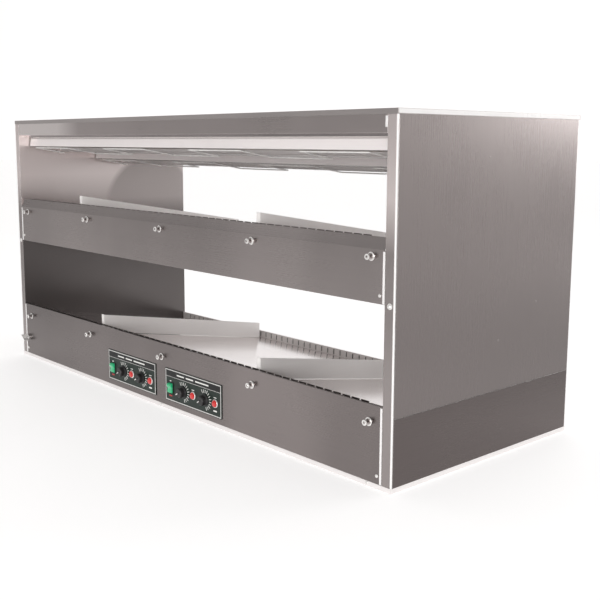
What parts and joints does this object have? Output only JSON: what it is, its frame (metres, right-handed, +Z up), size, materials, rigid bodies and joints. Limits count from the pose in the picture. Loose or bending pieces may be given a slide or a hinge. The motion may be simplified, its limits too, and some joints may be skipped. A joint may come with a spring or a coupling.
{
  "type": "heated display cabinet",
  "caption": "Two-level pass-through heated display warmer in folded stainless sheet, with sloped decks, lift-out lane dividers, overhead strip heaters and front heat controls.",
  "frame": {"origin": "middle of the bounding box at the underside of the base pan, on the surface it stands on", "axes": "+X along the length, to the right seen from the front; +Y to the rear; +Z up"},
  "size_m": [1.529, 0.624, 0.711],
  "materials": {
    "brushed_steel": "brushed",
    "bright_steel": "polished",
    "heater_sheath": "heat-darkened",
    "plate_green": "satin",
    "knob_black": "moulded",
    "lens_green": "translucent",
    "lens_red": "translucent",
    "housing_black": "moulded"
  },
  "bodies": {
    "cabinet": {"base_pan": "bright_steel", "top_cover": "bright_steel", "left_side_frame": "brushed_steel", "right_side_frame": "brushed_steel", "left_side_panel": "brushed_steel", "right_side_panel": "brushed_steel", "left_lower_side_panel": "brushed_steel", "right_lower_side_panel": "brushed_steel", "left_post_screw": "bright_steel", "right_post_screw": "bright_steel", "hood_front_fascia": "brushed_steel", "hood_rear_fascia": "brushed_steel", "hood_reflector_ceiling": "bright_steel", "upper_front_fascia": "brushed_steel", "upper_rear_fascia": "brushed_steel", "upper_shelf_underpan": "bright_steel", "upper_deck": "bright_steel", "upper_front_slot_rail": "bright_steel", "upper_rear_slot_rail": "bright_steel", "lower_front_fascia": "brushed_steel", "lower_rear_fascia": "brushed_steel", "lower_deck": "bright_steel", "lower_front_slot_rail": "bright_steel", "lower_rear_slot_rail": "bright_steel", "upper_front_heater_housing": "bright_steel", "upper_rear_heater_housing": "bright_steel", "lower_front_heater_housing": "bright_steel", "lower_rear_heater_housing": "bright_steel", "upper_front_heater_element": "heater_sheath", "upper_rear_heater_element": "heater_sheath", "lower_front_heater_element": "heater_sheath", "lower_rear_heater_element": "heater_sheath", "upper_front_wire_guard": "bright_steel", "upper_rear_wire_guard": "bright_steel", "lower_front_wire_guard": "bright_steel", "lower_rear_wire_guard": "bright_steel", "upper_label_studs": "bright_steel", "lower_label_studs": "bright_steel", "lower_control_plate": "plate_green", "upper_control_plate": "plate_green", "lower_controller_block": "housing_black", "upper_controller_block": "housing_black", "lower_front_indicator": "lens_red", "lower_rear_indicator": "lens_red", "upper_front_indicator": "lens_red", "upper_rear_indicator": "lens_red", "power_inlet": "housing_black"},
    "lower_rocker": {"lower_power_rocker": "lens_green"},
    "upper_rocker": {"upper_power_rocker": "lens_green"},
    "lower_front_knob": {"lower_front_heat_knob": "knob_black"},
    "lower_rear_knob": {"lower_rear_heat_knob": "knob_black"},
    "upper_front_knob": {"upper_front_heat_knob": "knob_black"},
    "upper_rear_knob": {"upper_rear_heat_knob": "knob_black"},
    "lower_left_lane_divider": {"lower_left_divider": "bright_steel"},
    "lower_right_lane_divider": {"lower_right_divider": "bright_steel"},
    "upper_left_lane_divider": {"upper_left_divider": "bright_steel"},
    "upper_right_lane_divider": {"upper_right_divider": "bright_steel"},
    "wing_screw": {"cover_wing_screw": "bright_steel"}
  },
  "joints": [
    {"name": "lower_rocker_tilt", "type": "hinge", "parent": "cabinet", "child": "lower_rocker", "pos_m": [-0.227, -0.294, 0.057], "axis": [1, 0, 0], "range_deg": [-16, 0]},
    {"name": "upper_rocker_tilt", "type": "hinge", "parent": "cabinet", "child": "upper_rocker", "pos_m": [0.043, -0.294, 0.057], "axis": [1, 0, 0], "range_deg": [-16, 0]},
    {"name": "lower_front_knob_turn", "type": "hinge", "parent": "cabinet", "child": "lower_front_knob", "pos_m": [-0.174, -0.294, 0.057], "axis": [0, 1, 0], "range_deg": [0, 270]},
    {"name": "lower_rear_knob_turn", "type": "hinge", "parent": "cabinet", "child": "lower_rear_knob", "pos_m": [-0.087, -0.294, 0.057], "axis": [0, 1, 0], "range_deg": [0, 270]},
    {"name": "upper_front_knob_turn", "type": "hinge", "parent": "cabinet", "child": "upper_front_knob", "pos_m": [0.096, -0.294, 0.057], "axis": [0, 1, 0], "range_deg": [0, 270]},
    {"name": "upper_rear_knob_turn", "type": "hinge", "parent": "cabinet", "child": "upper_rear_knob", "pos_m": [0.183, -0.294, 0.057], "axis": [0, 1, 0], "range_deg": [0, 270]},
    {"name": "lower_left_divider_lift", "type": "slide", "parent": "cabinet", "child": "lower_left_lane_divider", "axis": [0, 0, 1], "range_m": [0, 0.08]},
    {"name": "lower_right_divider_lift", "type": "slide", "parent": "cabinet", "child": "lower_right_lane_divider", "axis": [0, 0, 1], "range_m": [0, 0.08]},
    {"name": "upper_left_divider_lift", "type": "slide", "parent": "cabinet", "child": "upper_left_lane_divider", "axis": [0, 0, 1], "range_m": [0, 0.08]},
    {"name": "upper_right_divider_lift", "type": "slide", "parent": "cabinet", "child": "upper_right_lane_divider", "axis": [0, 0, 1], "range_m": [0, 0.08]},
    {"name": "wing_screw_turn", "type": "hinge", "parent": "cabinet", "child": "wing_screw", "pos_m": [-0.7295, -0.294, 0.058], "axis": [0, 1, 0], "continuous": true}
  ]
}
